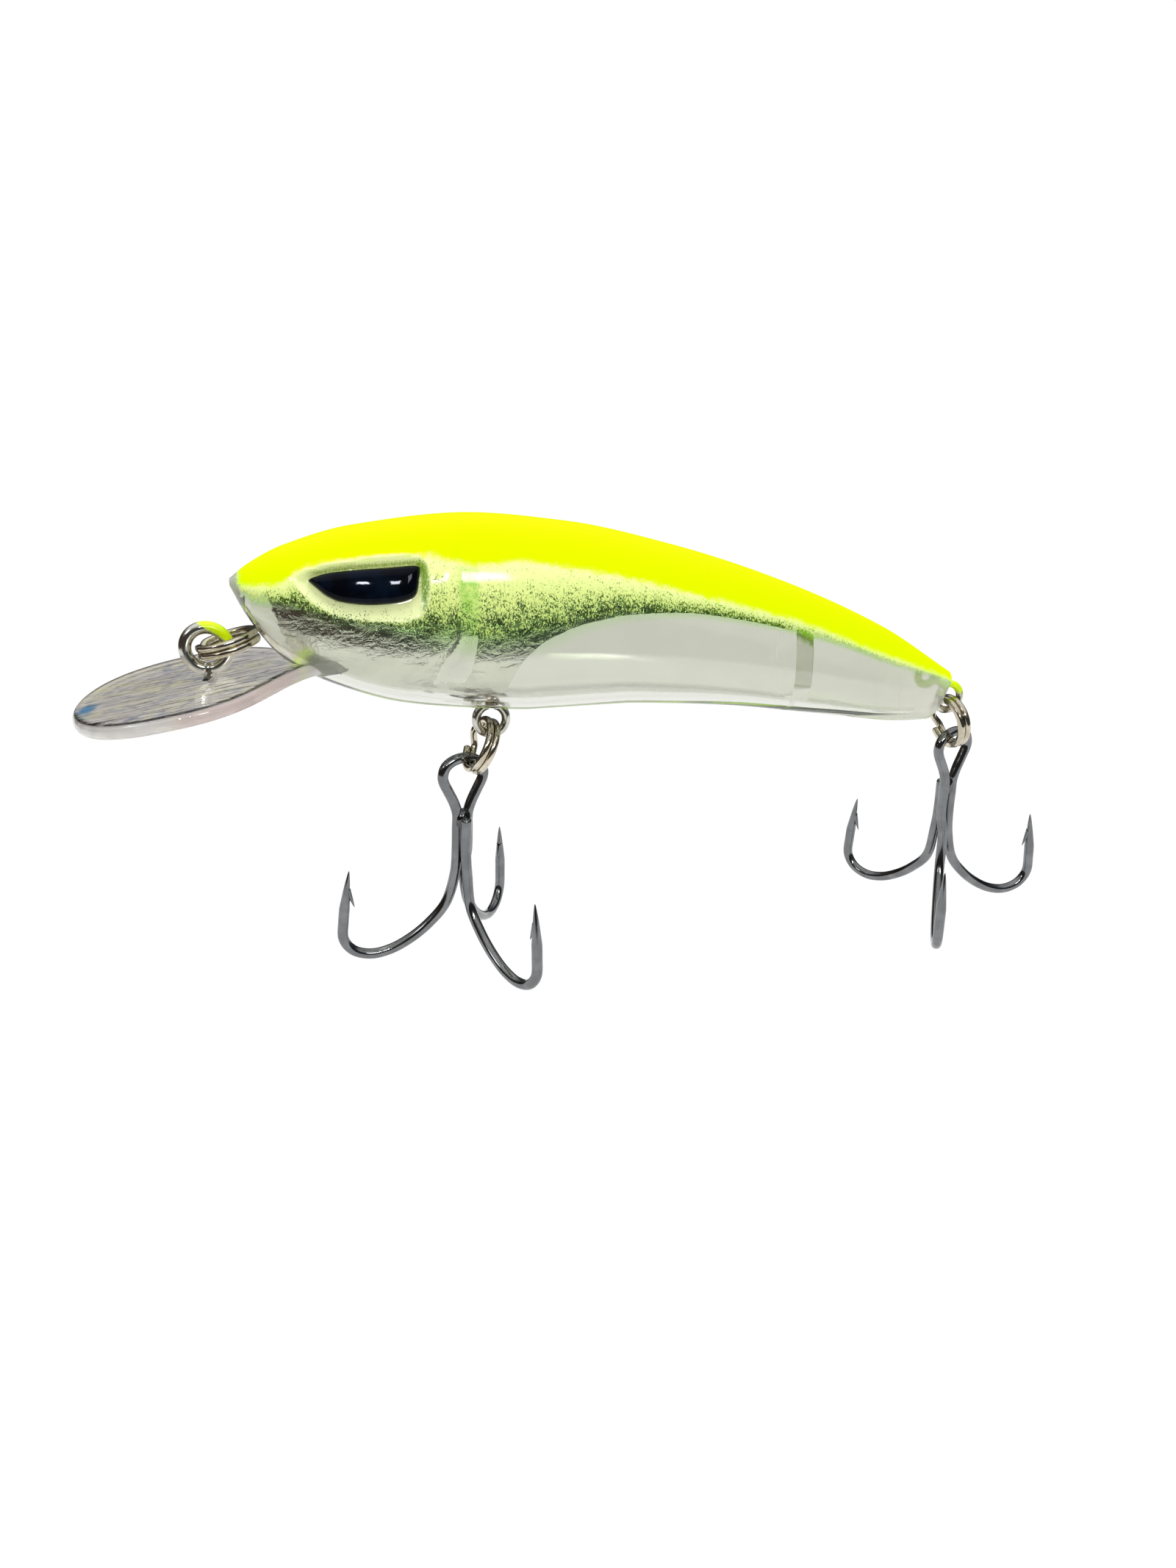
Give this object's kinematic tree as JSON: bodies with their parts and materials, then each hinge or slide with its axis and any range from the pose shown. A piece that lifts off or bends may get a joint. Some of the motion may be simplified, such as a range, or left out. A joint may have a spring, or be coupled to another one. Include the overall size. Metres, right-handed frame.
{
  "type": "crankbait lure",
  "caption": "Hard-bodied diving crankbait: clear hollow body with mirror inserts, wide diving lip, wire line tie, and treble hooks hung on split rings.",
  "frame": {"origin": "centre of the line tie eyelet's hole, where the fishing line is tied", "axes": "-X towards the nose's lip tip, +X towards the tail hook, +Z towards the back of the lure, XZ is the mirror plane"},
  "size_m": [0.1224, 0.0286, 0.0564],
  "materials": {
    "clear_body": "clear moulded plastic, chartreuse-painted back fading through speckled green, glossy clear coat",
    "mirror_foil": "silver foil, faintly wrinkled",
    "eye_resin": "domed gloss black resin",
    "clear_lip": "clear polycarbonate",
    "tie_wire": "bright stainless wire, overspray on top",
    "ballast_metal": "plain dull metal",
    "rattle_steel": "polished steel balls",
    "ring_nickel": "warm nickel plate",
    "hook_gunmetal": "black nickel over bronzed steel, satin gloss"
  },
  "bodies": {
    "lure_body": {"left_shell": "clear_body", "right_shell": "clear_body", "left_mirror_insert": "mirror_foil", "right_mirror_insert": "mirror_foil", "left_eye": "eye_resin", "right_eye": "eye_resin", "diving_lip": "clear_lip", "line_tie_eyelet": "tie_wire", "belly_hanger": "tie_wire", "tail_hanger": "tie_wire", "belly_ballast": "ballast_metal"},
    "rattle_balls": {"rattle_ball_1": "rattle_steel", "rattle_ball_2": "rattle_steel", "rattle_ball_3": "rattle_steel"},
    "line_link": {"line_ring": "ring_nickel"},
    "belly_link": {"belly_ring": "ring_nickel"},
    "belly_hook": {"belly_treble_double": "hook_gunmetal", "belly_treble_single": "hook_gunmetal"},
    "tail_link": {"tail_ring": "ring_nickel"},
    "tail_hook": {"tail_treble_double": "hook_gunmetal", "tail_treble_single": "hook_gunmetal"}
  },
  "joints": [
    {"name": "rattle_slide", "type": "slide", "parent": "lure_body", "child": "rattle_balls", "axis": [-1, 0, 0], "range_m": [0, 0.0029]},
    {"name": "line_ring_swing", "type": "hinge", "parent": "lure_body", "child": "line_link", "pos_m": [-0.00066, 0, -0.0003], "axis": [0, -1, 0], "range_deg": [0, 165]},
    {"name": "belly_ring_swing", "type": "hinge", "parent": "lure_body", "child": "belly_link", "pos_m": [0.0311, 0, -0.0105], "axis": [0, 1, 0], "range_deg": [-45, 45]},
    {"name": "belly_hook_swing", "type": "hinge", "parent": "belly_link", "child": "belly_hook", "pos_m": [0.02978, -0.00019, -0.01324], "axis": [0.89, 0.1251, -0.4384], "range_deg": [-50, 50]},
    {"name": "tail_ring_swing", "type": "hinge", "parent": "lure_body", "child": "tail_link", "pos_m": [0.0908, 0, -0.01145], "axis": [0, 1, 0], "range_deg": [-60, 25]},
    {"name": "tail_hook_swing", "type": "hinge", "parent": "tail_link", "child": "tail_hook", "pos_m": [0.09133, 0.00007, -0.01445], "axis": [0.9757, 0.1337, 0.1736], "range_deg": [-50, 50]}
  ]
}
